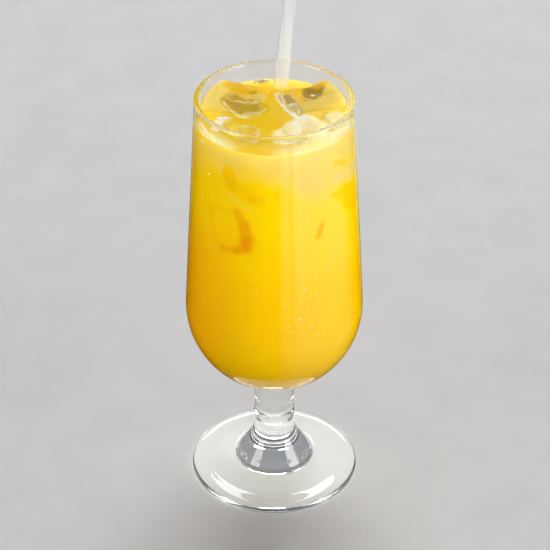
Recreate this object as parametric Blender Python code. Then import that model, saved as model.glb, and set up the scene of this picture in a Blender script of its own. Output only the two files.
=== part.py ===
# A footed glass of iced orange juice with a drinking straw.
# Units are metres, +Z is up, and the front is towards -Y.
# The origin is the centre of the foot, on the surface that the glass stands on.

import bpy
import bmesh
from math import atan, atan2, cos, hypot, pi, radians, sin, sqrt
from mathutils import Euler, Matrix, Vector

MM = 0.001

# Bowl of the glass
HEIGHT = 185.0 * MM
RIM_RADIUS = 32.0 * MM
BEAD_RADIUS = 1.15 * MM
BEAD_STEP = 0.1 * MM
BELLY_RADIUS = 37.2 * MM
BELLY_LEVEL = 87.0 * MM
BELLY_DEPTH = 38.2 * MM
WALL = 2.2 * MM
FLOOR_LEVEL = 51.2 * MM

# Stem, as radius and height of each station, top to bottom
STEM_STATIONS = [
    (11.5, 50.7), (9.9, 50.0), (9.45, 48.9), (9.1, 47.0), (8.7, 42.0), (8.35, 36.0), (8.3, 33.0),
    (8.75, 29.0), (8.4, 24.8), (9.5, 20.0), (11.3, 16.0), (14.0, 12.0), (16.2, 8.9), (16.9, 6.6),
]
STEM_STEPS = 2

# Foot
FOOT_RADIUS = 36.05 * MM
FOOT_EDGE_RADIUS = 1.6 * MM
FOOT_RISE = 3.0 * MM
FOOT_INNER_RADIUS = 17.4 * MM
CONTACT_INNER_RADIUS = 30.0 * MM
HOLLOW_RADIUS = 28.3 * MM
HOLLOW_STEP = 0.5 * MM
HOLLOW_DEPTH = 1.6 * MM

# Drink
JUICE_LEVEL = 176.0 * MM
MENISCUS_RISE = 1.1 * MM
MENISCUS_WIDTH = 1.8 * MM
GAP = 0.3 * MM

# Straw: its centre line runs from the floor of the bowl past the back of the rim
STRAW_LENGTH = 210.0 * MM
STRAW_RADIUS = 3.0 * MM
STRAW_WALL = 0.3 * MM
STRAW_FOOT = Vector((-10.2, 14.0, 58.8)) * MM
STRAW_AT_RIM = Vector((3.45, 26.1, 184.0)) * MM

# Ice cubes: size, centre, turn about X, Y and Z in degrees, and how far the top narrows
ICE_ROUNDNESS = 9.0
ICE_TO_WALL = 0.45 * MM
ICE_GAP = 0.45 * MM
ICE_CUBES = {
    "ice_back_left": ((25.5, 21.0, 24.0), (-16.9, 13.6, 167.4), (7.0, 7.5, -10.0), 0.03),
    "ice_back_right": ((26.5, 17.5, 23.0), (16.4, 14.2, 167.7), (7.7, -9.5, 14.0), 0.03),
    "ice_front_right": ((14.5, 13.5, 20.0), (12.3, -9.6, 168.6), (5.0, -14.0, 37.0), 0.05),
    "ice_right": ((9.5, 7.5, 13.0), (23.9, -1.2, 171.1), (3.0, 2.0, 30.0), 0.03),
    "ice_left": ((7.5, 7.5, 12.0), (-20.0, -4.6, 171.6), (-8.0, -6.0, -30.0), 0.12),
    "ice_front": ((8.5, 10.5, 12.0), (-10.2, -12.0, 171.0), (4.0, 4.0, 12.0), 0.08),
}

# Facets
SEGMENTS = 48
STRAW_SEGMENTS = 24
ICE_CUTS = 3


def clear_scene():
    for item in list(bpy.data.objects):
        bpy.data.objects.remove(item, do_unlink=True)


def make_material(name, color, roughness, transmission=0.0, ior=1.45):
    material = bpy.data.materials.new(name)
    material.use_nodes = True
    shader = material.node_tree.nodes["Principled BSDF"]
    shader.inputs["Base Color"].default_value = (*color, 1.0)
    shader.inputs["Roughness"].default_value = roughness
    shader.inputs["Metallic"].default_value = 0.0
    shader.inputs["Transmission Weight"].default_value = transmission
    shader.inputs["IOR"].default_value = ior
    return material


def add_object(name, bm, material, crease=40.0):
    mesh = bpy.data.meshes.new(name)
    bmesh.ops.recalc_face_normals(bm, faces=bm.faces)
    bm.to_mesh(mesh)
    bm.free()
    mesh.materials.append(material)
    mesh.shade_smooth()
    mesh.set_sharp_from_angle(angle=radians(crease))
    item = bpy.data.objects.new(name, mesh)
    bpy.context.scene.collection.objects.link(item)
    return item


# Outline tools: every outline is a list of (radius, height) points

def arc(centre, radius, start, end, steps):
    angles = [radians(start + (end - start) * i / steps) for i in range(steps + 1)]
    return [(centre[0] + radius * cos(a), centre[1] + radius * sin(a)) for a in angles]


def smooth_run(stations, steps):
    points = [Vector(s) for s in stations]
    points = [2 * points[0] - points[1]] + points + [2 * points[-1] - points[-2]]
    run = []
    for a, b, c, d in zip(points, points[1:], points[2:], points[3:]):
        for i in range(steps):
            t = i / steps
            run.append(0.5 * (2 * b + (c - a) * t + (2 * a - 5 * b + 4 * c - d) * t ** 2
                              + (3 * b - a - 3 * c + d) * t ** 3))
    run.append(points[-2])
    return [tuple(p) for p in run]


def bowl_curve(radius, depth, rim_radius, lowest_radius, steps):
    # The bowl's lower part is half an ellipse; the side runs straight up from where it is tangent.
    taper = (radius - rim_radius) / (HEIGHT - BELLY_LEVEL)
    top = atan(taper * depth / radius)
    bottom = -pi / 2 + atan2(lowest_radius / radius, sqrt(1 - (lowest_radius / radius) ** 2))
    angles = [top + (bottom - top) * i / steps for i in range(steps + 1)]
    return [(radius * cos(a), BELLY_LEVEL + depth * sin(a)) for a in angles]


def inner_radius(height):
    radius = BELLY_RADIUS - WALL
    if height < BELLY_LEVEL:
        depth = BELLY_LEVEL - FLOOR_LEVEL
        return radius * sqrt(max(0.0, 1 - ((BELLY_LEVEL - height) / depth) ** 2))
    taper = (BELLY_RADIUS - RIM_RADIUS) / (HEIGHT - BELLY_LEVEL)
    return radius - taper * (height - BELLY_LEVEL)


def turned(outline, segments=SEGMENTS):
    bm = bmesh.new()
    verts = [bm.verts.new((r, 0.0, z)) for r, z in outline]
    edges = [bm.edges.new(pair) for pair in zip(verts, verts[1:])]
    bmesh.ops.spin(bm, geom=verts + edges, cent=(0, 0, 0), axis=(0, 0, 1), angle=2 * pi,
                   steps=segments, use_merge=True)
    bmesh.ops.remove_doubles(bm, verts=bm.verts, dist=0.001 * MM)
    return bm


# Sub-parts

def make_glass(material):
    bead_centre = (RIM_RADIUS - BEAD_RADIUS, HEIGHT - BEAD_RADIUS)
    below_bead = HEIGHT - 2.2 * BEAD_RADIUS
    outer = RIM_RADIUS - BEAD_STEP

    inside = bowl_curve(BELLY_RADIUS - WALL, BELLY_LEVEL - FLOOR_LEVEL, RIM_RADIUS - WALL, 0.0, 10)
    outline = [(0.0, FLOOR_LEVEL)] + inside[-2::-1]
    outline.append((inner_radius(below_bead), below_bead))
    outline += arc(bead_centre, BEAD_RADIUS, 195.0, -15.0, 7)
    outline.append((outer, below_bead))
    lowest_radius = STEM_STATIONS[0][0] * MM
    outline += bowl_curve(BELLY_RADIUS, BELLY_DEPTH, outer, lowest_radius, 10)[:-1]
    outline += [(r * MM, z * MM) for r, z in smooth_run(STEM_STATIONS, STEM_STEPS)]

    edge_centre = (FOOT_RADIUS - FOOT_EDGE_RADIUS, FOOT_EDGE_RADIUS)
    edge_top = 2 * FOOT_EDGE_RADIUS
    foot_run = edge_centre[0] - FOOT_INNER_RADIUS
    for share in (0.0, 0.35, 0.7):
        outline.append((FOOT_INNER_RADIUS + share * foot_run, edge_top + FOOT_RISE * (1 - share)))
    outline += arc(edge_centre, FOOT_EDGE_RADIUS, 90.0, -90.0, 6)
    outline.append((CONTACT_INNER_RADIUS, 0.0))
    for share in (1.0, 0.7, 0.35, 0.0):
        height = HOLLOW_DEPTH - (HOLLOW_DEPTH - HOLLOW_STEP) * share ** 2
        outline.append((HOLLOW_RADIUS * share, height))
    return add_object("glass", turned(outline), material)


def straw_axis():
    return (STRAW_AT_RIM - STRAW_FOOT).normalized()


def place_on_straw(item, offset=0.0):
    axis = straw_axis()
    item.location = STRAW_FOOT + axis * offset
    item.rotation_mode = "QUATERNION"
    item.rotation_quaternion = axis.to_track_quat("Z", "Y")


def tube(outer, inner, length):
    outline = [(inner, 0.0), (inner, length), (outer, length), (outer, 0.0), (inner, 0.0)]
    return turned(outline, STRAW_SEGMENTS)


def make_straw(material):
    bm = tube(STRAW_RADIUS, STRAW_RADIUS - STRAW_WALL, STRAW_LENGTH)
    straw = add_object("straw", bm, material)
    place_on_straw(straw)
    return straw


def ice_shape(size, centre, turn, narrowing, grow=0.0):
    # A melted cube: a subdivided cube pulled to rounded edges, held clear of the wall.
    bm = bmesh.new()
    bmesh.ops.create_cube(bm, size=2.0)
    bmesh.ops.subdivide_edges(bm, edges=bm.edges, cuts=ICE_CUTS, use_grid_fill=True)
    half = Vector(size) * MM / 2 + Vector((grow, grow, grow))
    place = Matrix.Translation(Vector(centre) * MM) @ Euler([radians(a) for a in turn]).to_matrix().to_4x4()
    for vert in bm.verts:
        p = vert.co
        norm = sum(abs(c) ** ICE_ROUNDNESS for c in p) ** (1 / ICE_ROUNDNESS)
        p = Vector([c / norm for c in p])
        width = 1.0 - narrowing * (p.z + 1.0) / 2
        p = place @ Vector((p.x * half.x * width, p.y * half.y * width, p.z * half.z))
        reach = inner_radius(p.z) - ICE_TO_WALL + grow
        distance = hypot(p.x, p.y)
        if distance > reach:
            p.x, p.y = p.x * reach / distance, p.y * reach / distance
        vert.co = p
    return bm


def make_ice(material):
    return [add_object(name, ice_shape(*cube), material) for name, cube in ICE_CUBES.items()]


def add_cutter(target, name, bm, material):
    cutter = add_object(name, bm, material)
    cutter.hide_render = True
    cutter.display_type = "WIRE"
    cut = target.modifiers.new(name, "BOOLEAN")
    cut.operation = "DIFFERENCE"
    cut.solver = "EXACT"
    cut.object = cutter
    return cutter


def make_juice(material):
    radius = BELLY_RADIUS - WALL - GAP
    depth = BELLY_LEVEL - FLOOR_LEVEL - GAP
    inside = bowl_curve(radius, depth, RIM_RADIUS - WALL - GAP, 0.0, 10)
    side = inner_radius(JUICE_LEVEL + MENISCUS_RISE) - GAP
    outline = [
        (0.0, JUICE_LEVEL),
        (side - MENISCUS_WIDTH, JUICE_LEVEL),
        (side - MENISCUS_WIDTH * 0.35, JUICE_LEVEL + MENISCUS_RISE * 0.3),
        (side, JUICE_LEVEL + MENISCUS_RISE),
    ]
    outline += inside[:-1] + [(0.0, FLOOR_LEVEL + GAP)]
    juice = add_object("juice", turned(outline), material)

    for name, cube in ICE_CUBES.items():
        add_cutter(juice, "cut_" + name, ice_shape(*cube, grow=ICE_GAP), material)
    length = STRAW_LENGTH + 2 * GAP
    straw_hole = tube(STRAW_RADIUS + GAP, STRAW_RADIUS - STRAW_WALL - GAP, length)
    place_on_straw(add_cutter(juice, "cut_straw", straw_hole, material), -GAP)
    return juice


clear_scene()
make_glass(make_material("clear_glass", (0.95, 0.96, 0.94), 0.02, 1.0, 1.5))
make_straw(make_material("clear_plastic", (0.86, 0.86, 0.84), 0.25, 0.6, 1.45))
make_ice(make_material("ice", (0.96, 0.90, 0.66), 0.1, 0.8, 1.31))
make_juice(make_material("orange_juice", (0.92, 0.55, 0.03), 0.15))
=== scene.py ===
import bpy
import bmesh
from math import atan, atan2, cos, degrees, exp, hypot, pi, radians, sin, sqrt, tau
from mathutils import Euler, Matrix, Vector, noise
from random import Random


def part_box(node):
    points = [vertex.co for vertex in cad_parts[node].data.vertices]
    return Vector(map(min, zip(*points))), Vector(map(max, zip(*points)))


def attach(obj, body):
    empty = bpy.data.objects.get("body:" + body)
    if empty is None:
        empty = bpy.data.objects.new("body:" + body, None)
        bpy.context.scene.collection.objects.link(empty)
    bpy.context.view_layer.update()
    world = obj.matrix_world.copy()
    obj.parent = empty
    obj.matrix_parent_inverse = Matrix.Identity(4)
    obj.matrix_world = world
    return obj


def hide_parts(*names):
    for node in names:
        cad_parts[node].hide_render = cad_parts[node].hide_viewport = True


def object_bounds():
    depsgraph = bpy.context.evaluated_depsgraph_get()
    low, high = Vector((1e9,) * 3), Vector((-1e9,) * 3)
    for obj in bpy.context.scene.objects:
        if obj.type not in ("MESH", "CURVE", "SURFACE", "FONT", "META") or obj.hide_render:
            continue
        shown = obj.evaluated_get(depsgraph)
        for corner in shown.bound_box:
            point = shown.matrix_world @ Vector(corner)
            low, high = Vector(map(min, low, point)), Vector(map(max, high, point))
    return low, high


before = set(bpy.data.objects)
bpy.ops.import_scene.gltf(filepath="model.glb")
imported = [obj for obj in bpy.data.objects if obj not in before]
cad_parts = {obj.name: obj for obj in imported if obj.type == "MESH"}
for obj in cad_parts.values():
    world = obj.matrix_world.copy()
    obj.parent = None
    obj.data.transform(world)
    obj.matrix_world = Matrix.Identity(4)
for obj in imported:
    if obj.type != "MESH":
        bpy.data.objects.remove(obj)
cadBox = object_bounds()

mm = 0.001


# camera at the photo's viewing angle, fitted to the rim, the belly and the foot

cameraSetup = {
    "place": (0.0003, -0.7215, 0.5915),
    "pitchDown": 34.26,
    "focalPixels": 2092.0,      # the focal length in pixels of a 550 pixel wide picture
    "photoWidth": 550.0,
    "sensor": 36.0,
}


def makeCamera():
    data = bpy.data.cameras.new("camera")
    data.sensor_width = cameraSetup["sensor"]
    data.lens = cameraSetup["focalPixels"] / cameraSetup["photoWidth"] * cameraSetup["sensor"]
    data.clip_start = 0.01
    camera = bpy.data.objects.new("camera", data)
    camera.location = cameraSetup["place"]
    camera.rotation_euler = (radians(90.0 - cameraSetup["pitchDown"]), 0.0, 0.0)
    bpy.context.scene.collection.objects.link(camera)
    bpy.context.scene.camera = camera


# general helpers

def clamp(value):
    return min(1.0, max(0.0, value))


def azimuthOf(x, y):
    # degrees from the front towards the right
    return degrees(atan2(x, -y))


def waves(point):
    return noise.fractal(point, 1.0, 2.0, 3)


def newMaterial(name):
    material = bpy.data.materials.new(name)
    material.use_nodes = True
    tree = material.node_tree
    tree.nodes.clear()
    return material, tree


def addNode(tree, kind, inputs=None, **settings):
    node = tree.nodes.new(kind)
    for key, value in settings.items():
        setattr(node, key, value)
    for key, value in (inputs or {}).items():
        if isinstance(value, bpy.types.NodeSocket):
            tree.links.new(value, node.inputs[key])
        else:
            node.inputs[key].default_value = value
    return node


def addRamp(tree, factor, stops):
    node = addNode(tree, "ShaderNodeValToRGB", {"Fac": factor})
    node.color_ramp.interpolation = "EASE"
    points = node.color_ramp.elements
    while len(points) < len(stops):
        points.new(0.5)
    for point, (position, color) in zip(points, stops):
        point.position = position
        point.color = (*color, 1.0)
    return node.outputs["Color"]


def mixColors(tree, factor, first, second):
    node = tree.nodes.new("ShaderNodeMix")
    node.data_type = "RGBA"
    for socket, value in ((node.inputs[0], factor), (node.inputs[6], first), (node.inputs[7], second)):
        if isinstance(value, bpy.types.NodeSocket):
            tree.links.new(value, socket)
        elif isinstance(value, tuple) and len(value) == 3:
            socket.default_value = (*value, 1.0)
        else:
            socket.default_value = value
    return node.outputs[2]


def mixShaders(tree, factor, first, second):
    node = tree.nodes.new("ShaderNodeMixShader")
    for socket, value in zip(node.inputs, (factor, first, second)):
        tree.links.new(value, socket)
    return node.outputs[0]


def mapRange(tree, value, fromMin, fromMax, toMin, toMax):
    node = addNode(tree, "ShaderNodeMapRange", {
        "Value": value, "From Min": fromMin, "From Max": fromMax, "To Min": toMin, "To Max": toMax})
    return node.outputs["Result"]


def noiseFactor(tree, scale, detail=3.0, roughness=0.5, stretch=(1.0, 1.0, 1.0)):
    coords = addNode(tree, "ShaderNodeTexCoord")
    mapping = addNode(tree, "ShaderNodeMapping", {"Vector": coords.outputs["Object"], "Scale": stretch})
    field = addNode(tree, "ShaderNodeTexNoise", {
        "Vector": mapping.outputs["Vector"], "Scale": scale, "Detail": detail, "Roughness": roughness})
    return field.outputs["Fac"]


def bumpFrom(tree, height, strength, distance):
    node = addNode(tree, "ShaderNodeBump", {"Height": height, "Strength": strength, "Distance": distance})
    return node.outputs["Normal"]


def closeShader(tree, surface, shadowTint=None):
    # lamps shine through clear pieces: for shadow rays the glass is a tinted pane
    if shadowTint:
        path = addNode(tree, "ShaderNodeLightPath")
        pane = addNode(tree, "ShaderNodeBsdfTransparent", {"Color": (*shadowTint, 1.0)})
        surface = mixShaders(tree, path.outputs["Is Shadow Ray"], surface, pane.outputs[0])
    addNode(tree, "ShaderNodeOutputMaterial", {"Surface": surface})


def pieceFrom(bm, name, materials, nodes=()):
    bmesh.ops.recalc_face_normals(bm, faces=bm.faces)
    mesh = bpy.data.meshes.new(name)
    bm.to_mesh(mesh)
    bm.free()
    for material in materials:
        mesh.materials.append(material)
    mesh.shade_smooth()
    piece = bpy.data.objects.new(name, mesh)
    bpy.context.scene.collection.objects.link(piece)
    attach(piece, "root")
    if nodes:
        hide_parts(*nodes)
    return piece


def applyModifiers(piece):
    deps = bpy.context.evaluated_depsgraph_get()
    mesh = bpy.data.meshes.new_from_object(piece.evaluated_get(deps))
    old = piece.data
    piece.modifiers.clear()
    piece.data = mesh
    bpy.data.meshes.remove(old)


def arcPoints(centre, radius, start, end, steps):
    angles = [radians(start + (end - start) * i / steps) for i in range(steps + 1)]
    return [(centre[0] + radius * cos(a), centre[1] + radius * sin(a)) for a in angles]


def smoothRun(stations, steps):
    points = [Vector(s) for s in stations]
    points = [2 * points[0] - points[1]] + points + [2 * points[-1] - points[-2]]
    run = []
    for a, b, c, d in zip(points, points[1:], points[2:], points[3:]):
        for i in range(steps):
            t = i / steps
            run.append(0.5 * (2 * b + (c - a) * t + (2 * a - 5 * b + 4 * c - d) * t ** 2
                              + (3 * b - a - 3 * c + d) * t ** 3))
    run.append(points[-2])
    return [tuple(p) for p in run]


def orderKey(element):
    # one number for an edge or a face, from the lowest numbers of its points
    key = 0.0
    for index in sorted(vert.index for vert in element.verts)[:3]:
        key = key * 1e5 + index
    return key


def turnedShape(outline, segments):
    bm = bmesh.new()
    verts = [bm.verts.new((r, 0.0, z)) for r, z in outline]
    edges = [bm.edges.new(pair) for pair in zip(verts, verts[1:])]
    bmesh.ops.spin(bm, geom=verts + edges, cent=(0, 0, 0), axis=(0, 0, 1), angle=tau,
                   steps=segments, use_merge=True)
    bmesh.ops.remove_doubles(bm, verts=bm.verts, dist=0.001 * mm)
    bm.verts.index_update()
    bm.edges.sort(key=orderKey)        # the spin leaves these in another order each run
    bm.faces.sort(key=orderKey)
    return bm


# glass: the same outline as the frame's glass, turned finely

glassShape = {
    "height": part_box("glass")[1][2],
    "rimRadius": 32.0 * mm,
    "beadRadius": 1.15 * mm,
    "beadStep": 0.1 * mm,
    "belowBead": 2.2,            # in bead radii
    "bellyRadius": 37.2 * mm,
    "bellyLevel": 87.0 * mm,
    "bellyDepth": 38.2 * mm,
    "wall": 2.2 * mm,
    "floorLevel": 51.2 * mm,
    "stem": [
        (11.5, 50.7), (9.9, 50.0), (9.45, 48.9), (9.1, 47.0), (8.7, 42.0), (8.35, 36.0), (8.3, 33.0),
        (8.75, 29.0), (8.4, 24.8), (9.5, 20.0), (11.3, 16.0), (14.0, 12.0), (16.2, 8.9), (16.9, 6.6),
    ],
    "footRadius": 36.05 * mm,
    "footEdge": 1.6 * mm,
    "footRise": 3.0 * mm,
    "footInner": 17.4 * mm,
    "footRings": 6,
    "footStep": 0.14,            # share of the slope from one ring to the next
    "contactInner": 30.0 * mm,
    "hollowRadius": 28.3 * mm,
    "hollowStep": 0.5 * mm,
    "hollowDepth": 1.6 * mm,
    "hollowRings": 8,
    "segments": 192,
}


def bowlCurve(radius, depth, rimRadius, lowestRadius, steps):
    # half an ellipse below, and the side straight up from where it is tangent
    taper = (radius - rimRadius) / (glassShape["height"] - glassShape["bellyLevel"])
    top = atan(taper * depth / radius)
    bottom = -pi / 2 + atan2(lowestRadius / radius, sqrt(1 - (lowestRadius / radius) ** 2))
    angles = [top + (bottom - top) * i / steps for i in range(steps + 1)]
    return [(radius * cos(a), glassShape["bellyLevel"] + depth * sin(a)) for a in angles]


def innerRadius(height):
    radius = glassShape["bellyRadius"] - glassShape["wall"]
    level = glassShape["bellyLevel"]
    if height < level:
        depth = level - glassShape["floorLevel"]
        return radius * sqrt(max(0.0, 1 - ((level - height) / depth) ** 2))
    taper = (glassShape["bellyRadius"] - glassShape["rimRadius"]) / (glassShape["height"] - level)
    return radius - taper * (height - level)


def glassMaterial():
    material, tree = newMaterial("clearGlass")
    ripple = noiseFactor(tree, 45.0, 2.0, 0.4, (1.0, 1.0, 0.35))
    smear = noiseFactor(tree, 260.0, 3.0, 0.6)
    rough = mapRange(tree, smear, 0.45, 0.75, 0.0, 0.035)
    shader = addNode(tree, "ShaderNodeBsdfPrincipled", {
        "Base Color": (0.968, 0.978, 0.962, 1.0), "Roughness": rough,
        "IOR": 1.5, "Transmission Weight": 1.0, "Normal": bumpFrom(tree, ripple, 0.12, 0.0006)})
    closeShader(tree, shader.outputs[0], (0.86, 0.87, 0.85))
    return material


def makeGlass():
    g = glassShape
    beadCentre = (g["rimRadius"] - g["beadRadius"], g["height"] - g["beadRadius"])
    belowBead = g["height"] - g["belowBead"] * g["beadRadius"]
    outer = g["rimRadius"] - g["beadStep"]
    inside = bowlCurve(g["bellyRadius"] - g["wall"], g["bellyLevel"] - g["floorLevel"],
                       g["rimRadius"] - g["wall"], 0.0, 40)
    outline = [(0.0, g["floorLevel"])] + inside[-2::-1]
    outline.append((innerRadius(belowBead), belowBead))
    outline += arcPoints(beadCentre, g["beadRadius"], 195.0, -15.0, 20)
    outline.append((outer, belowBead))
    outline += bowlCurve(g["bellyRadius"], g["bellyDepth"], outer, g["stem"][0][0] * mm, 40)[:-1]
    outline += [(r * mm, z * mm) for r, z in smoothRun(g["stem"], 6)]
    edgeCentre = (g["footRadius"] - g["footEdge"], g["footEdge"])
    run = edgeCentre[0] - g["footInner"]
    for i in range(g["footRings"]):
        share = g["footStep"] * i
        outline.append((g["footInner"] + share * run, 2 * g["footEdge"] + g["footRise"] * (1 - share)))
    outline += arcPoints(edgeCentre, g["footEdge"], 86.0, -90.0, 14)
    outline.append((g["contactInner"], 0.0))
    for i in range(g["hollowRings"] + 1):
        share = 1.0 - i / g["hollowRings"]
        rise = g["hollowDepth"] - (g["hollowDepth"] - g["hollowStep"]) * share ** 2
        outline.append((g["hollowRadius"] * share, rise))
    bm = turnedShape(outline, g["segments"])
    piece = pieceFrom(bm, "glassBody", [glassMaterial()], ["glass"])
    piece.data.set_sharp_from_angle(angle=radians(50.0))
    print("glass made")


# paint: the drink's colours, laid on the points of the juice and the ice

tints = {
    "juice": (0.94, 0.615, 0.0),       # the body of the juice
    "upper": (0.94, 0.70, 0.0),        # where melt water thins it
    "deep": (0.78, 0.28, 0.0),         # where ice or pulp darkens it, and painted shade on the left of the wall
    "cloudy": (0.80, 0.63, 0.19),      # melt water and fine pulp near the top, and the painted pale light on the right of the wall
    "low": (0.79, 0.51, 0.0),          # painted shade towards the bottom of the bowl
    "surface": (0.90, 0.63, 0.05),
    "amber": (0.88, 0.55, 0.01),
    "tan": (0.54, 0.34, 0.02),
    "straw": (0.86, 0.66, 0.13),
    "cream": (0.96, 0.83, 0.34),
    "milky": (0.97, 0.88, 0.50),
    "white": (1.0, 0.94, 0.78),
    # olive and grey: bubbles in the ice, with painted dark where clear ice shows its dark surroundings
    "olive": (0.20, 0.17, 0.04),
    "grey": (0.46, 0.43, 0.22),
}

# soft strokes on the surface of the drink and on the ice: from and to, in mm from the axis,
# width and softness in mm, tint and strength
topMarks = [
    ((-16.5, 18.8), (-5.0, 18.2), 5.6, 2.0, "amber", 0.95),       # back left cube: wet upper band
    ((-17.0, 19.5), (-13.0, 19.5), 1.5, 2.0, "deep", 0.25),
    ((-16.0, 9.0), (-7.5, 6.0), 9.0, 2.0, "tan", 0.88),           # its clear front
    ((-16.8, 10.4), (-15.4, 9.2), 2.2, 1.6, "olive", 0.25),
    ((-9.4, 15.6), (-7.6, 15.5), 0.5, 0.8, "olive", 0.45),
    ((-8.0, 11.2), (-6.6, 10.6), 0.4, 0.7, "cream", 0.60),
    ((-20.0, 8.0), (-13.0, -0.2), 0.5, 0.5, "cream", 0.90),
    ((-13.0, -0.2), (-7.6, -2.0), 0.7, 0.5, "white", 0.90),
    ((-7.6, -2.0), (-3.8, 6.5), 0.6, 0.6, "cream", 0.90),
    ((-11.0, 2.0), (-7.5, 2.5), 1.6, 2.0, "cream", 0.55),
    ((-19.0, 11.8), (-5.0, 10.0), 0.2, 0.5, "cream", 0.55),
    ((-21.2, 20.6), (-19.4, 23.6), 0.8, 0.6, "white", 0.85),
    ((-19.4, 23.6), (-11.5, 23.0), 0.5, 0.5, "white", 0.80),
    ((-11.5, 23.0), (-3.0, 20.6), 0.3, 0.5, "cream", 0.60),
    ((-27.5, 6.0), (-22.0, 14.0), 3.0, 3.0, "straw", 0.60),
    ((6.5, 18.0), (18.0, 20.5), 6.0, 2.4, "amber", 0.90),         # back right cube: wet upper band
    ((8.0, 12.5), (12.0, 7.0), 3.0, 2.0, "amber", 0.65),
    ((13.6, 17.5), (17.6, 15.6), 3.4, 1.6, "olive", 0.72),        # bubble in it
    # a painted glint on the bubble
    ((15.4, 16.9), (15.8, 16.6), 0.5, 0.5, "white", 1.00),
    ((17.6, 14.4), (18.4, 14.0), 0.4, 0.5, "cream", 0.80),
    ((1.2, 18.0), (2.8, 12.0), 1.8, 0.8, "white", 0.95),          # foam by the straw
    ((2.4, 15.0), (3.2, 9.8), 1.3, 0.6, "white", 0.95),           # its white edge
    ((3.2, 9.8), (8.8, -1.2), 1.0, 0.5, "white", 0.90),
    ((5.0, 12.6), (7.0, 9.6), 1.6, 1.2, "olive", 0.60),
    ((6.4, 8.4), (8.0, 7.0), 0.6, 0.5, "white", 0.70),
    ((8.6, 6.2), (11.6, 1.0), 2.0, 1.4, "grey", 0.60),
    ((16.0, 9.0), (26.0, 11.0), 5.0, 4.0, "tan", 0.35),
    ((9.4, 4.2), (10.0, 3.4), 0.5, 0.4, "white", 0.90),
    ((13.0, -1.6), (26.0, 5.4), 0.4, 0.5, "cream", 0.60),
    ((20.0, 3.6), (23.4, 2.7), 0.5, 0.6, "olive", 0.60),
    ((15.0, 5.0), (25.0, 8.0), 5.0, 3.0, "straw", 0.60),
    ((4.5, -14.0), (13.0, -3.5), 7.5, 2.4, "milky", 1.0),         # front right cube
    ((9.0, -10.0), (13.0, -4.5), 4.0, 2.6, "white", 1.0),
    ((13.0, -11.0), (17.0, -5.0), 3.0, 2.0, "cream", 0.55),
    ((2.5, -15.0), (6.0, -11.5), 1.0, 2.4, "cream", 0.80),
    ((6.5, -12.5), (12.0, -6.0), 0.2, 0.6, "cream", 0.70),
    ((4.0, -9.5), (11.6, -1.6), 0.5, 0.5, "white", 0.95),
    ((18.0, -12.0), (25.0, -4.0), 7.0, 3.0, "milky", 0.90),
    # painted glints on the left cube
    ((-23.4, -2.6), (-18.7, -2.4), 0.8, 0.7, "white", 0.95),      # left cube
    ((-22.2, -6.4), (-19.0, -3.4), 2.2, 1.2, "white", 0.95),
    # the front cube's outline: pale ice edges with a painted highlight along them
    ((-14.2, -8.7), (-6.5, -9.4), 0.5, 0.6, "cream", 0.90),       # front cube
    ((-6.5, -9.4), (-6.8, -15.6), 0.5, 0.6, "cream", 0.80),
    ((-6.8, -15.6), (-13.8, -14.8), 0.6, 0.6, "white", 0.90),
    ((-13.8, -14.8), (-14.2, -8.7), 0.5, 0.6, "cream", 0.80),
    ((-6.5, -3.5), (-1.0, -5.0), 7.0, 3.0, "amber", 0.95),        # clear juice between the cubes
    ((-3.4, 8.0), (-3.0, 2.0), 3.0, 2.0, "amber", 0.60),
    ((-19.0, 1.0), (-12.0, -4.5), 2.4, 1.6, "amber", 0.80),
    ((0.0, 22.0), (0.6, 11.0), 3.0, 2.2, "amber", 0.60),
    ((-15.0, -24.5), (1.0, -28.0), 3.4, 1.8, "amber", 0.95),
    ((6.0, -27.0), (22.0, -20.0), 6.0, 7.0, "cream", 0.50),
    ((-26.0, -13.0), (-18.0, -22.0), 2.0, 6.0, "cream", 0.70),
    ((-12.5, -14.0), (-8.5, -10.5), 3.4, 1.8, "amber", 0.75),
]


# waves that keep the strokes from looking drawn: how many in one mm, and how far they push in mm
strokeWaves = {"scale": 0.35, "reach": 0.9}


def blend(color, tint, share):
    return tuple(a + (b - a) * share for a, b in zip(color, tint))


def softShare(point, start, end, width, soft):
    along = end - start
    share = clamp((point - start).dot(along) / along.length_squared)
    away = (point - start - along * share).length - width / 2
    fade = clamp(1.0 - away / soft)
    return fade * fade * (3 - 2 * fade)


def paintTop(place, color):
    point = Vector((place.x, place.y)) / mm
    wander = noise.noise_vector(Vector((point.x, point.y, 5.0)) * strokeWaves["scale"])
    point += Vector((wander.x, wander.y)) * strokeWaves["reach"]
    for start, end, width, soft, name, strength in topMarks:
        reach = width + soft
        if min(start[0], end[0]) - reach < point.x < max(start[0], end[0]) + reach:
            share = softShare(point, Vector(start), Vector(end), width, soft)
            color = blend(color, tints[name], share * strength)
    return color


def layPaint(mesh, colorAt):
    paint = mesh.attributes.new("paint", "FLOAT_COLOR", "POINT")
    for i, vert in enumerate(mesh.vertices):
        paint.data[i].color = (*colorAt(vert.co), 1.0)


# ice: melted cubes, wet with juice

iceSetup = {
    "roundness": 9.0,
    "toWall": 0.45 * mm,
    "spacing": 0.42 * mm,
    "pocketCuts": 16,
    "melt": 0.35 * mm,           # how far the melted faces wander
    "meltScale": 95.0,
    "hollowFrom": 0.8,           # the hollow is in the top, from this share of half the height
    "inset": 0.15 * mm,          # the juice reaches this far into each cube, so no air shows
}

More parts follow.
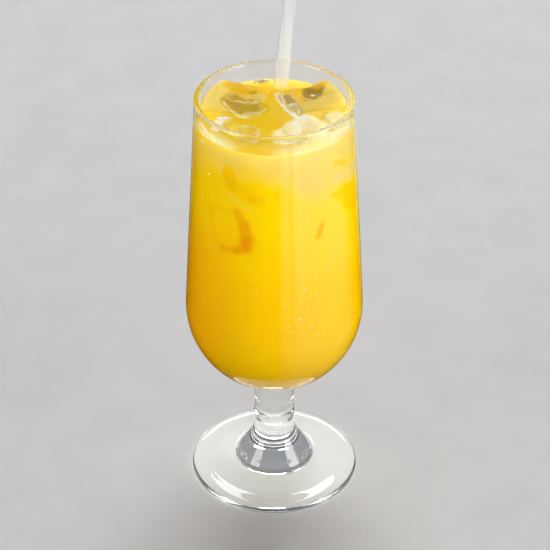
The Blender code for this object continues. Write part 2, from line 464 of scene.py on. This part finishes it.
# size, centre, turn in degrees, narrowing of the top, and hollow: place on the top, radius, depth
iceCubes = {
    "ice_back_left": ((25.5, 21.0, 24.0), (-16.9, 13.6, 167.4), (7.0, 7.5, -10.0), 0.03,
                      (3.0, -2.5, 7.5, 2.2)),
    "ice_back_right": ((26.5, 17.5, 23.0), (16.4, 14.2, 167.7), (7.7, -9.5, 14.0), 0.03,
                       (0.5, 3.0, 4.6, 3.2)),
    "ice_front_right": ((14.5, 13.5, 20.0), (12.3, -9.6, 168.6), (5.0, -14.0, 37.0), 0.05,
                        (-1.0, -2.0, 4.5, 0.7)),
    "ice_right": ((9.5, 7.5, 13.0), (23.9, -1.2, 171.1), (3.0, 2.0, 30.0), 0.03,
                  (0.0, 0.0, 3.0, 0.5)),
    "ice_left": ((7.5, 7.5, 12.0), (-20.0, -4.6, 171.6), (-8.0, -6.0, -30.0), 0.12,
                 (0.0, 0.0, 2.5, 0.4)),
    "ice_front": ((8.5, 10.5, 12.0), (-10.2, -12.0, 171.0), (4.0, 4.0, 12.0), 0.08,
                  (0.5, -0.5, 3.0, 0.8)),
}


def iceFrame(centre, turn):
    angles = Euler([radians(a) for a in turn])
    return Matrix.Translation(Vector(centre) * mm) @ angles.to_matrix().to_4x4()


def iceShape(cube, cuts, grow=0.0):
    size, centre, turn, narrowing, hollow = cube
    bm = bmesh.new()
    bmesh.ops.create_cube(bm, size=2.0)
    bmesh.ops.subdivide_edges(bm, edges=bm.edges, cuts=cuts, use_grid_fill=True)
    half = Vector(size) * mm / 2
    place = iceFrame(centre, turn)
    power = iceSetup["roundness"]
    hollowX, hollowY, hollowRadius, hollowDepth = [v * mm for v in hollow]
    for vert in bm.verts:
        p = vert.co
        norm = sum(abs(c) ** power for c in p) ** (1 / power)
        p = Vector([c / norm for c in p])
        top = p.z
        width = 1.0 - narrowing * (p.z + 1.0) / 2
        p = Vector((p.x * half.x * width, p.y * half.y * width, p.z * half.z))
        outward = p.normalized()
        wander = noise.noise((p + Vector(centre)) * iceSetup["meltScale"])
        p += outward * (iceSetup["melt"] * wander + grow)
        if top > iceSetup["hollowFrom"]:
            away = hypot(p.x - hollowX, p.y - hollowY) / hollowRadius
            p.z -= hollowDepth * exp(-away ** 4)
        p = place @ p
        reach = innerRadius(p.z) - iceSetup["toWall"] + grow
        distance = hypot(p.x, p.y)
        if distance > reach:
            p.x, p.y = p.x * reach / distance, p.y * reach / distance
        vert.co = p
    return bm


def iceMaterial():
    material, tree = newMaterial("wetIce")
    paint = addNode(tree, "ShaderNodeAttribute", attribute_name="paint").outputs["Color"]
    specks = noiseFactor(tree, 650.0, 3.0, 0.65)
    pale = mapRange(tree, specks, 0.50, 0.70, 0.0, 0.14)
    tint = mixColors(tree, pale, paint, tints["white"])
    rough = mapRange(tree, specks, 0.3, 0.7, 0.06, 0.22)
    broad = noiseFactor(tree, 260.0, 3.0, 0.6)
    dents = addNode(tree, "ShaderNodeMath", {0: broad, 1: specks}, operation="ADD")
    shader = addNode(tree, "ShaderNodeBsdfPrincipled", {
        "Base Color": tint, "Roughness": rough, "IOR": 1.31,
        "Transmission Weight": 0.15, "Subsurface Weight": 0.3, "Subsurface Radius": (1.0, 0.8, 0.4),
        "Subsurface Scale": 0.003, "Normal": bumpFrom(tree, dents.outputs[0], 0.35, 0.0007)})
    closeShader(tree, shader.outputs[0], (0.96, 0.94, 0.86))
    return material


def makeIce():
    material = iceMaterial()
    for node, cube in iceCubes.items():
        words = node.split("_")
        name = words[0] + "".join(w.capitalize() for w in words[1:])
        cuts = round(max(cube[0]) * mm / iceSetup["spacing"])
        piece = pieceFrom(iceShape(cube, cuts), name, [material], [node])
        layPaint(piece.data, lambda place: paintTop(place, tints["straw"]))
    print("ice made")


# juice: fills the bowl and reaches just into its wall, with pockets for the ice

juiceSetup = {
    "level": 176.0 * mm,
    "overlap": 0.1 * mm,         # how far it reaches into the glass
    "meniscus": 0.45 * mm,
    "meniscusWidth": 1.0 * mm,
    "segments": 320,
    "sideRows": 110,
    "bowlRows": 40,
    "topRings": 46,
    "topSpread": 1.35,           # rings of the top lie closer towards the edge
    "ripple": 0.12 * mm,
    "rippleScale": 160.0,
    "foamScale": 170.0,
    "foamContrast": 1.2,
    "wallBand": 0.3 * mm,        # what is this near the wall gets the wall's colours
}


def juiceOutline():
    s, g = juiceSetup, glassShape
    radius = g["bellyRadius"] - g["wall"] + s["overlap"]
    depth = g["bellyLevel"] - g["floorLevel"] + s["overlap"]
    bowl = bowlCurve(radius, depth, g["rimRadius"] - g["wall"] + s["overlap"], 0.0, s["bowlRows"])
    edge = (innerRadius(s["level"] + s["meniscus"]) + s["overlap"], s["level"] + s["meniscus"])
    outline = []
    for i in range(s["topRings"]):
        share = i / s["topRings"]
        outline.append((edge[0] * (1 - (1 - share) ** s["topSpread"]), s["level"]))
    for i in range(s["sideRows"]):
        share = i / s["sideRows"]
        outline.append((edge[0] + (bowl[0][0] - edge[0]) * share, edge[1] + (bowl[0][1] - edge[1]) * share))
    outline += bowl[:-1] + [(0.0, g["floorLevel"] - s["overlap"])]
    return outline


def juiceTopHeight(x, y):
    s = juiceSetup
    edge = innerRadius(s["level"]) + s["overlap"]
    rise = s["meniscus"] * exp(-max(0.0, edge - hypot(x, y)) / s["meniscusWidth"])
    ripple = s["ripple"] * noise.noise(Vector((x, y, 0.3)) * s["rippleScale"])
    return s["level"] + rise + ripple * (1 - rise / s["meniscus"])


def juiceMaterial(name, roughness, specular, bump, flecked):
    material, tree = newMaterial(name)
    paint = addNode(tree, "ShaderNodeAttribute", attribute_name="paint").outputs["Color"]
    pulp = noiseFactor(tree, 900.0, 3.0, 0.6)
    flecks = mapRange(tree, pulp, 0.52, 0.72, 0.0, flecked)
    color = mixColors(tree, flecks, paint, tints["cloudy"])
    shader = addNode(tree, "ShaderNodeBsdfPrincipled", {
        "Base Color": color, "Roughness": roughness, "IOR": 1.35, "Specular IOR Level": specular,
        "Subsurface Weight": 0.5, "Subsurface Radius": (1.0, 0.6, 0.2), "Subsurface Scale": 0.009,
        "Normal": bumpFrom(tree, pulp, bump, 0.0005)})
    closeShader(tree, shader.outputs[0])
    return material


# what shows through the wall: sunken ice and streaks of pulp, each a soft line between two places
# on the wall: degrees from the front towards the right, height in mm, then width in mm, softness
# in mm, deeper colour and paler colour
wallMarks = [
    ((-35, 166.0), (-31.5, 161.0), 3.2, 3.0, 0.24, -0.45), # dark patch under the left ice
    ((-33, 162.0), (-31, 161.0), 2.0, 2.4, 0.34, -0.50),
    ((-27, 160.6), (-8, 157.6), 2.2, 3.0, 0.15, -0.45),
    ((-17, 159.2), (-12, 158.4), 1.2, 2.2, 0.25, -0.3),
    ((-33, 156.6), (-16, 153.6), 0.8, 2.0, -0.05, 0.12),
    ((-51, 147), (-28, 150), 0.5, 2.4, 0.12, 0.0),         # sunken cube on the left
    ((-51, 147), (-44, 134), 0.6, 2.6, 0.10, 0.0),
    ((-25, 150.5), (-20, 145), 1.8, 2.2, 0.40, 0.0),
    ((-20.4, 146), (-17.4, 138.5), 2.6, 2.4, 0.56, 0.0),
    ((-17.8, 139), (-19, 135.6), 1.2, 4.4, 0.80, 0.0),
    ((-20, 134.4), (-27, 132.4), 1.2, 2.6, 0.64, 0.0),
    ((-25, 132.4), (-37, 131.8), 0.6, 2.2, 0.40, 0.0),
    ((48, 166.8), (59, 165.2), 0.8, 2.4, 0.34, -0.60),     # streaks and a sunken cube on the right
    ((57, 166.4), (72, 163.6), 3.0, 2.2, 0.05, -0.30),
    ((45.5, 154.0), (54, 152.0), 0.8, 1.6, 0.24, -0.70),
    ((55, 152.0), (72, 149.0), 4.0, 3.2, 0.22, -0.95),
    ((61, 147.0), (72, 143.0), 4.0, 3.2, 0.22, -0.95),
    ((48, 160.5), (76, 157.5), 2.6, 2.2, -0.10, 0.34),
    ((36.2, 144.0), (31.2, 137.4), 0.4, 2.0, 0.30, -0.30),
    ((35.2, 142.6), (32.2, 138.6), 0.9, 1.6, 0.52, -0.40),
    ((52, 133), (40, 122), 2.0, 3.0, -0.04, 0.12),
    ((112, 154), (126, 152), 7.0, 3.6, 0.10, -0.12),       # sunken cubes on the far side
    ((112, 149), (128, 148), 1.0, 1.6, 0.22, -0.1),
    ((168, 146), (176, 145), 8.0, 3.4, 0.10, -0.10),
    ((166, 139), (180, 139.5), 1.2, 1.5, 0.24, -0.1),
    ((212, 162), (230, 158), 3.6, 3.4, 0.10, -0.12),
    ((242, 141), (246, 138), 3.0, 1.8, 0.22, 0.0),
    ((268, 156), (282, 154), 6.0, 3.4, 0.10, -0.12),
]
markScale = 33.5                 # mm of wall in one radian

# how the drink's colour changes over the wall: places in metres, angles in degrees from the front
wallLook = {
    "waves": 42.0,                      # in one metre
    "waveTurn": 2.5,                    # how far they push the marks, in degrees and in mm
    "waveRise": 2.0,
    "upper": (0.112, 0.038),            # melt water thins the drink from this height, over this much
    "low": (0.125, 0.075),              # and below this height, over this much, it is painted darker as shade
    "left": (-0.012, 0.024),            # left of this the colour is painted deeper, as shade on the side away from the lamps
    "across": (-0.028, 0.040),          # right of this the top is cloudier and painted paler, as the side where light falls
    "border": (0.163, 0.017, 0.009),    # where the cloudy top ends: height, fall to the right, waves
    "borderRun": (0.010, 0.008),        # how softly it ends on the left, and how much more on the right
    "cloudyTop": (0.52, 0.34),          # how cloudy it is on the left, and how much more on the right, where it is also painted light
    "lit": (2.0, 18.0, 66.0, 10.0),     # a painted highlight, a paler band where light falls on the right: from, rising over, to, falling over
    "cloudyLit": (0.16, 0.14),          # how pale the painted highlight is below, and how much more above
    "paintedShadeLeft": 0.58,
    "deepWaves": 0.08,
    "brim": (0.1722, 0.0036),           # the top edge takes the surface's tint
    "brimShare": 0.75,
}


def markShares(azimuth, height):
    deeper, paler = 0.0, 0.0
    for start, end, width, soft, dark, light in wallMarks:
        reach = width + soft
        if height < min(start[1], end[1]) - reach or height > max(start[1], end[1]) + reach:
            continue
        turn = (azimuth - start[0] + 180.0) % 360.0 - 180.0
        point = Vector((radians(turn) * markScale, height))
        first = Vector((0.0, start[1]))
        last = Vector((radians(end[0] - start[0]) * markScale, end[1]))
        share = softShare(point, first, last, width, soft)
        deeper = max((deeper, dark * share), key=abs)
        paler = max((paler, light * share), key=abs)
    return deeper, paler


def wallColor(place):
    w = wallLook
    azimuth = azimuthOf(place.x, place.y)
    wander = waves(place * w["waves"])
    upper = clamp((place.z - w["upper"][0]) / w["upper"][1])
    # painted shade: the wall is painted darker towards the bottom of the bowl
    low = clamp((w["low"][0] - place.z) / w["low"][1])
    left = clamp((w["left"][0] - place.x) / w["left"][1])
    across = clamp((place.x - w["across"][0]) / w["across"][1])
    border = w["border"][0] - w["border"][1] * across * across + w["border"][2] * wander
    topShare = clamp((place.z - border) / (w["borderRun"][0] + w["borderRun"][1] * across))
    # painted highlight: a paler band on the right of the wall, where the light falls
    litFrom, litRise, litTo, litFall = w["lit"]
    lit = clamp((azimuth - litFrom) / litRise) * clamp((litTo - azimuth) / litFall)
    # the cloudy top is melt water and pulp, painted paler towards the lit right side
    cloudy = (w["cloudyTop"][0] + w["cloudyTop"][1] * across) * topShare
    cloudy = max(cloudy, lit * (w["cloudyLit"][0] + w["cloudyLit"][1] * upper))
    # painted shade: the left side of the wall, away from the lamps, is painted deeper orange
    deep = w["paintedShadeLeft"] * left * (1 - cloudy) * (1 - 0.5 * upper) + w["deepWaves"] * wander
    height = place.z / mm + w["waveRise"] * wander
    deeper, paler = markShares(azimuth + w["waveTurn"] * wander, height)
    cloudy = clamp(cloudy + paler)
    deep = clamp(deep + deeper)
    color = blend(blend(tints["juice"], tints["upper"], upper), tints["low"], low)
    color = blend(blend(color, tints["deep"], deep), tints["cloudy"], cloudy)
    brim = clamp((place.z - w["brim"][0]) / w["brim"][1])
    return blend(color, blend(tints["surface"], tints["cloudy"], across), w["brimShare"] * brim)


def juicePaint(place):
    s = juiceSetup
    if hypot(place.x, place.y) > innerRadius(place.z) - s["wallBand"]:
        return wallColor(place)
    foam = waves(Vector((place.x, place.y, 0.1)) * s["foamScale"])
    color = blend(tints["surface"], tints["amber"], clamp(0.5 + s["foamContrast"] * foam))
    return paintTop(place, color)


def makeJuice():
    s = juiceSetup
    bm = turnedShape(juiceOutline(), s["segments"])
    topRadius = innerRadius(s["level"])
    for vert in bm.verts:
        x, y, z = vert.co
        if abs(z - s["level"]) < 0.01 * mm and hypot(x, y) < topRadius:
            vert.co.z = juiceTopHeight(x, y)
    side = juiceMaterial("juiceAtWall", 0.55, 0.05, 0.01, 0.05)
    top = juiceMaterial("juiceSurface", 0.10, 0.25, 0.5, 0.12)
    juice = pieceFrom(bm, "orangeJuice", [side, top], ["juice"])

    pockets = bmesh.new()
    for cube in iceCubes.values():
        shape = iceShape(cube, iceSetup["pocketCuts"], -iceSetup["inset"])
        part = bpy.data.meshes.new("pocket")
        bmesh.ops.recalc_face_normals(shape, faces=shape.faces)
        shape.to_mesh(part)
        shape.free()
        pockets.from_mesh(part)
        bpy.data.meshes.remove(part)
    cutterMesh = bpy.data.meshes.new("pockets")
    pockets.to_mesh(cutterMesh)
    pockets.free()
    cutter = bpy.data.objects.new("pockets", cutterMesh)
    bpy.context.scene.collection.objects.link(cutter)
    cut = juice.modifiers.new("pockets", "BOOLEAN")
    cut.operation = "DIFFERENCE"
    cut.solver = "EXACT"
    cut.object = cutter
    applyModifiers(juice)
    bpy.data.objects.remove(cutter)
    bpy.data.meshes.remove(cutterMesh)

    mesh = juice.data
    for face in mesh.polygons:
        centre = face.center
        atWall = hypot(centre.x, centre.y) > innerRadius(centre.z) - 0.05 * mm
        face.material_index = 0 if atWall else 1
        face.use_smooth = True
    mesh.set_sharp_from_angle(angle=radians(55.0))
    layPaint(mesh, juicePaint)
    print("juice made,", len(mesh.vertices), "points")


# straw: an open tube whose centre line passes the back of the rim

strawShape = {
    "length": 210.0 * mm,
    "radius": 3.0 * mm,
    "wall": 0.3 * mm,
    "foot": Vector((-10.2, 14.0, 58.8)) * mm,
    "atRim": Vector((3.45, 26.1, 184.0)) * mm,
    "segments": 64,
    "rings": 60,
}


def strawMaterial():
    material, tree = newMaterial("clearStraw")
    streak = noiseFactor(tree, 300.0, 2.0, 0.5, (1.0, 1.0, 0.05))
    tint = addRamp(tree, streak, [(0.3, (0.88, 0.88, 0.875)), (0.7, (0.95, 0.95, 0.945))])
    shader = addNode(tree, "ShaderNodeBsdfPrincipled", {
        "Base Color": tint, "Roughness": 0.18, "IOR": 1.32, "Transmission Weight": 0.84,
        "Normal": bumpFrom(tree, streak, 0.05, 0.0003)})
    closeShader(tree, shader.outputs[0], (0.86, 0.86, 0.85))
    return material


def makeStraw():
    s = strawShape
    inner, outer, lip = s["radius"] - s["wall"], s["radius"], s["wall"] / 2
    rows = [s["length"] * i / s["rings"] for i in range(s["rings"] + 1)]
    rows[0], rows[-1] = lip, s["length"] - lip
    outline = [(inner, z) for z in rows]
    outline += arcPoints((inner + lip, rows[-1]), lip, 150.0, 30.0, 4)
    outline += [(outer, z) for z in reversed(rows)]
    outline += arcPoints((inner + lip, rows[0]), lip, -30.0, -150.0, 4) + [(inner, rows[0])]
    bm = turnedShape(outline, s["segments"])
    axis = (s["atRim"] - s["foot"]).normalized()
    place = Matrix.Translation(s["foot"]) @ axis.to_track_quat("Z", "Y").to_matrix().to_4x4()
    bmesh.ops.transform(bm, matrix=place, verts=bm.verts)
    pieceFrom(bm, "drinkingStraw", [strawMaterial()], ["straw"])
    print("straw made")


# film and drops: pulp left on the wall above the drink, drops on the outside, bubbles at the edge

filmShape = {
    "bottom": 175.6 * mm,
    "top": 186.0 * mm,
    "gap": 0.04 * mm,
    "thickness": 0.06 * mm,
    "segments": 300,
    "rows": 24,
    "waves": 160.0,
    "grain": 700.0,
    "grainMean": 0.85,
    "grainContrast": 0.5,
    "sideFade": 6.0,             # degrees
    # from and to, in degrees from the front towards the right, height in mm and density
    "patches": [
        (-84.0, -36.0, 5.0, 0.34),
        (14.0, 80.0, 6.5, 0.25),
        (120.0, 150.0, 2.0, 0.16),
        (205.0, 240.0, 2.6, 0.18),
    ],
    # from and to, as angle and height, width in mm and density
    "streaks": [
        ((-67.8, 180.3), (-42.6, 177.4), 0.45, 0.85),
        ((-63.0, 178.0), (-50.0, 175.9), 0.3, 0.5),
    ],
    "streakSoft": 0.6,
}
dropShape = {
    "seed": 7,
    "flatness": 0.45,
    "sunk": 0.15,
    # drops that stand out: degrees from the front towards the right, height and radius in mm
    "placed": [
        (-59.6, 174.3, 0.62), (-80.0, 157.1, 0.45), (-76.8, 143.4, 0.42), (15.5, 127.9, 0.34),
        (20.1, 115.7, 0.40), (16.5, 101.9, 0.42), (28.8, 92.6, 0.46), (24.0, 98.0, 0.30),
    ],
    # how many are strewn, between which angles, heights and radii
    "strewn": [
        (46, (-180.0, 180.0), (88.0, 172.0), (0.12, 0.30)),
        (18, (3.0, 30.0), (92.0, 113.0), (0.12, 0.26)),
    ],
}
bubbleShape = {
    "seed": 11,
    # from and to, in degrees from the front towards the right, how many, smallest and largest radius
    "runs": [
        (184.0, 196.0, 22, 0.30, 0.80), (168.0, 182.0, 9, 0.20, 0.45), (140.0, 146.0, 3, 0.20, 0.45),
        (-30.0, 24.0, 9, 0.15, 0.35), (250.0, 262.0, 5, 0.2, 0.4), (96.0, 104.0, 4, 0.2, 0.4),
    ],
    "wallGap": 0.08 * mm,
    "spread": 1.6 * mm,          # how far from the wall they float
    "rise": 0.25,                # how far their middles stand above the drink, in radii
    "flatness": 0.9,
}


def outerRadius(height):
    g = glassShape
    outer = g["rimRadius"] - g["beadStep"]
    taper = (g["bellyRadius"] - outer) / (g["height"] - g["bellyLevel"])
    return g["bellyRadius"] - taper * (height - g["bellyLevel"])


def filmDensity(place):
    f = filmShape
    azimuth = azimuthOf(place.x, place.y)
    wander = waves(place * f["waves"])
    fine = waves(place * f["grain"])
    height = (place.z - f["bottom"]) / mm
    density = 0.0
    for start, end, tall, strength in f["patches"]:
        turn = (azimuth - start + 180.0) % 360.0 - 180.0
        inside = min(turn, end - start - turn) / f["sideFade"] + 0.5
        fade = 1.0 - height / (tall * (1.0 + 0.5 * wander))
        density = max(density, strength * clamp(inside) * clamp(fade))
    density *= f["grainMean"] + f["grainContrast"] * fine
    for start, end, width, strength in f["streaks"]:
        point = Vector((radians(azimuth) * markScale, place.z / mm))
        first = Vector((radians(start[0]) * markScale, start[1]))
        last = Vector((radians(end[0]) * markScale, end[1]))
        density = max(density, strength * softShare(point, first, last, width, f["streakSoft"]))
    return clamp(density)


def makeFilm():
    f = filmShape
    material, tree = newMaterial("pulpFilm")
    density = addNode(tree, "ShaderNodeAttribute", attribute_name="filmShare").outputs["Fac"]
    grain = noiseFactor(tree, 600.0, 2.0, 0.6)
    tint = addRamp(tree, grain, [(0.35, (0.95, 0.83, 0.42)), (0.65, (1.0, 0.94, 0.70))])
    shader = addNode(tree, "ShaderNodeBsdfPrincipled", {
        "Base Color": tint, "Roughness": 0.45, "IOR": 1.35, "Alpha": density})
    closeShader(tree, shader.outputs[0])
    rows = [f["bottom"] + (f["top"] - f["bottom"]) * i / f["rows"] for i in range(f["rows"] + 1)]
    outline = [(innerRadius(z) - f["gap"], z) for z in rows]
    outline += [(innerRadius(z) - f["gap"] - f["thickness"], z) for z in reversed(rows)]
    bm = turnedShape(outline + outline[:1], f["segments"])
    film = pieceFrom(bm, "pulpFilm", [material])
    densities = film.data.attributes.new("filmShare", "FLOAT", "POINT")
    for i, vert in enumerate(film.data.vertices):
        densities.data[i].value = filmDensity(vert.co)
    print("film made")


def waterMaterial(name, tint, transmission):
    material, tree = newMaterial(name)
    cloud = addRamp(tree, noiseFactor(tree, 900.0, 2.0, 0.5), [(0.3, tint), (0.7, (1.0, 1.0, 0.97))])
    shader = addNode(tree, "ShaderNodeBsdfPrincipled", {
        "Base Color": cloud, "Roughness": 0.04, "IOR": 1.33, "Transmission Weight": transmission})
    closeShader(tree, shader.outputs[0], (0.97, 0.97, 0.95))
    return material


def addBead(bm, centre, radius, normal, flatness):
    stretch = Matrix.Diagonal((radius, radius, radius * flatness, 1.0))
    turn = normal.to_track_quat("Z", "Y").to_matrix().to_4x4()
    place = Matrix.Translation(centre) @ turn @ stretch
    bmesh.ops.create_icosphere(bm, subdivisions=3, radius=1.0, matrix=place)


def makeDrops():
    d = dropShape
    draws = Random(d["seed"])
    drops = list(d["placed"])
    for count, angles, heights, radii in d["strewn"]:
        for _ in range(count):
            drops.append((draws.uniform(*angles), draws.uniform(*heights), draws.uniform(*radii)))
    bm = bmesh.new()
    for azimuth, height, radius in drops:
        around = radians(azimuth)
        normal = Vector((sin(around), -cos(around), 0.05)).normalized()
        reach = outerRadius(height * mm) + d["sunk"] * radius * mm
        centre = Vector((sin(around) * reach, -cos(around) * reach, height * mm))
        addBead(bm, centre, radius * mm, normal, d["flatness"])
    water = waterMaterial("water", (0.93, 0.92, 0.86), 0.75)
    pieceFrom(bm, "waterDrops", [water])
    print("drops made")


def makeBubbles():
    b = bubbleShape
    draws = Random(b["seed"])
    topRadius = innerRadius(juiceSetup["level"])
    bm = bmesh.new()
    for start, end, count, smallest, largest in b["runs"]:
        for _ in range(count):
            radius = draws.uniform(smallest, largest) * mm
            around = radians(draws.uniform(start, end))
            reach = topRadius - radius - b["wallGap"] - draws.uniform(0.0, b["spread"])
            x, y = sin(around) * reach, -cos(around) * reach
            centre = Vector((x, y, juiceTopHeight(x, y) + b["rise"] * radius))
            addBead(bm, centre, radius, Vector((0.0, 0.0, 1.0)), b["flatness"])
    skin = waterMaterial("bubbleSkin", (0.50, 0.45, 0.26), 0.60)
    pieceFrom(bm, "surfaceBubbles", [skin])
    print("bubbles made")


# floor and light

lamps = {
    # name: place, aims at, width, height, watts, color
    "keyRight": ((2.25, -1.32, 0.635), (0.0, 0.0, 0.11), 1.35, 1.35, 40.0, (1.0, 0.985, 0.96)),
    "fillLeft": ((-2.26, -1.40, 0.725), (0.0, 0.0, 0.11), 1.28, 1.28, 26.5, (1.0, 0.97, 0.93)),
    "topBack": ((0.12, 1.05, 1.60), (0.0, 0.0, 0.15), 1.25, 0.70, 21.5, (1.0, 1.0, 1.0)),
    "windowRight": ((1.05, -0.56, 0.72), (0.0, 0.0, 0.12), 0.90, 1.20, 10.0, (0.97, 0.98, 1.0)),
    "windowLeft": ((-1.00, -0.60, 0.60), (0.0, 0.0, 0.12), 0.60, 0.90, 4.2, (0.97, 0.98, 1.0)),
}
# a glowing card on the floor that only gloss can see: upright streaks in the wall of the bowl
reflector = {
    "near": 0.050, "far": 0.520, "lift": 0.0012,
    "rings": 16, "segments": 360,
    "bands": [                 # from and to, in degrees from the front towards the right, and strength
        (8.5, 19.0, 0.50, 0.50), (25.0, 37.0, 0.85, 0.80), (37.0, 104.0, 0.50, 0.10),
        (143.0, 152.0, 0.35, 0.35), (158.0, 169.0, 0.60, 0.60), (169.0, 214.0, 0.35, 0.10),
    ],
    "edge": 1.6,               # degrees over which a band fades
    "faint": 0.08, "dim": 0.40, "bright": 1.70,
    "faintTo": 0.075, "dimAt": 0.19, "brightFrom": 0.335,
}
worldLook = {
    "seen": (0.60, 0.61, 0.62),       # what the camera sees past the floor
    "fill": (0.30, 0.305, 0.32),      # the soft light that falls on everything
    "mirrored": (0.03, 0.03, 0.03),   # what shows in the gloss
    "clearLow": (0.05, 0.05, 0.052),  # what shows through clear pieces, near the horizon and overhead
    "clearHigh": (0.38, 0.39, 0.41),
}
floorSize = 3.0


def addLamp(name, place, turn, width, height, watts, color):
    data = bpy.data.lights.new(name, "AREA")
    data.shape = "RECTANGLE"
    data.size, data.size_y = width, height
    data.energy = watts
    data.color = color
    lamp = bpy.data.objects.new(name, data)
    lamp.location = place
    lamp.rotation_euler = turn
    lamp.visible_camera = False
    bpy.context.scene.collection.objects.link(lamp)
    return lamp


def makeLights():
    for name, (place, target, width, height, watts, color) in lamps.items():
        turn = (Vector(target) - Vector(place)).to_track_quat("-Z", "Y").to_euler()
        lamp = addLamp(name, place, turn, width, height, watts, color)
        lamp.visible_glossy = name != "topBack"      # or the foot mirrors it in two wide patches
        lamp.visible_diffuse = not name.startswith("window")     # these two show only in the gloss


def cardGlow(x, y):
    r = reflector
    azimuth = azimuthOf(x, y) % 360.0
    level = 0.0
    for start, end, first, last in r["bands"]:
        inside = min(azimuth - start, end - azimuth) / r["edge"]
        strength = first + (last - first) * clamp((azimuth - start) / (end - start))
        level = max(level, strength * clamp(0.5 + 0.5 * inside))
    away = hypot(x, y)
    near = clamp((away - r["faintTo"]) / (r["dimAt"] - r["faintTo"]))
    far = clamp((away - r["dimAt"]) / (r["brightFrom"] - r["dimAt"]))
    return level * (r["faint"] + (r["dim"] - r["faint"]) * near + (r["bright"] - r["dim"]) * far)


def makeReflector():
    r = reflector
    material, tree = newMaterial("cardGlow")
    glow = addNode(tree, "ShaderNodeAttribute", attribute_name="glow").outputs["Fac"]
    emission = addNode(tree, "ShaderNodeEmission", {"Color": (1.0, 0.99, 0.97, 1.0), "Strength": glow})
    path = addNode(tree, "ShaderNodeLightPath")
    unseen = addNode(tree, "ShaderNodeBsdfTransparent")
    clear = path.outputs["Is Transmission Ray"]
    closeShader(tree, mixShaders(tree, clear, emission.outputs[0], unseen.outputs[0]))
    material.cycles.emission_sampling = "NONE"
    rings = [r["near"] + (r["far"] - r["near"]) * i / r["rings"] for i in range(r["rings"] + 1)]
    outline = [(ring, r["lift"]) for ring in rings]
    bm = turnedShape(outline, r["segments"])
    mesh = bpy.data.meshes.new("reflector")
    bm.to_mesh(mesh)
    bm.free()
    mesh.materials.append(material)
    glows = mesh.attributes.new("glow", "FLOAT", "POINT")
    for i, vert in enumerate(mesh.vertices):
        glows.data[i].value = cardGlow(vert.co.x, vert.co.y)
    card = bpy.data.objects.new("reflector", mesh)
    for ray in ("camera", "diffuse", "transmission", "shadow", "volume_scatter"):
        setattr(card, "visible_" + ray, False)
    bpy.context.scene.collection.objects.link(card)


def makeWorld():
    w = worldLook
    world = bpy.data.worlds.new("studio")
    world.use_nodes = True
    tree = world.node_tree
    tree.nodes.clear()
    path = addNode(tree, "ShaderNodeLightPath")
    coords = addNode(tree, "ShaderNodeTexCoord")
    height = addNode(tree, "ShaderNodeSeparateXYZ", {"Vector": coords.outputs["Generated"]}).outputs["Z"]
    clear = addRamp(tree, height, [(0.1, w["clearLow"]), (0.8, w["clearHigh"])])
    color = mixColors(tree, path.outputs["Is Glossy Ray"], w["fill"], w["mirrored"])
    color = mixColors(tree, path.outputs["Is Transmission Ray"], color, clear)
    color = mixColors(tree, path.outputs["Is Camera Ray"], color, w["seen"])
    back = addNode(tree, "ShaderNodeBackground", {"Color": color, "Strength": 1.0})
    addNode(tree, "ShaderNodeOutputWorld", {"Surface": back.outputs[0]})
    bpy.context.scene.world = world


def makeFloor():
    material, tree = newMaterial("paleFloor")
    grain = noiseFactor(tree, 35.0, 5.0, 0.6)
    color = addRamp(tree, grain, [(0.3, (0.58, 0.58, 0.585)), (0.7, (0.61, 0.61, 0.615))])
    shader = addNode(tree, "ShaderNodeBsdfPrincipled", {
        "Base Color": color, "Roughness": 0.55, "Specular IOR Level": 0.0})      # dull, or it would mirror the card
    closeShader(tree, shader.outputs[0])
    bm = bmesh.new()
    bmesh.ops.create_grid(bm, x_segments=4, y_segments=4, size=floorSize / 2)
    mesh = bpy.data.meshes.new("floor")
    bm.to_mesh(mesh)
    bm.free()
    mesh.materials.append(material)
    floor = bpy.data.objects.new("floor", mesh)
    floor.location = (0.0, 0.0, cadBox[0][2] - 0.2 * mm)
    floor.visible_glossy = False       # the gloss shows the lamps and the card alone
    bpy.context.scene.collection.objects.link(floor)


def setLook():
    scene = bpy.context.scene
    scene.view_settings.view_transform = "Standard"
    scene.cycles.use_denoising = True
    scene.cycles.max_bounces = 24
    scene.cycles.transmission_bounces = 20
    scene.cycles.transparent_max_bounces = 24
    scene.cycles.glossy_bounces = 10
    scene.cycles.diffuse_bounces = 6


makeCamera()
makeGlass()
makeIce()
makeJuice()
makeStraw()
makeFilm()
makeDrops()
makeBubbles()
makeLights()
makeReflector()
makeWorld()
makeFloor()
setLook()
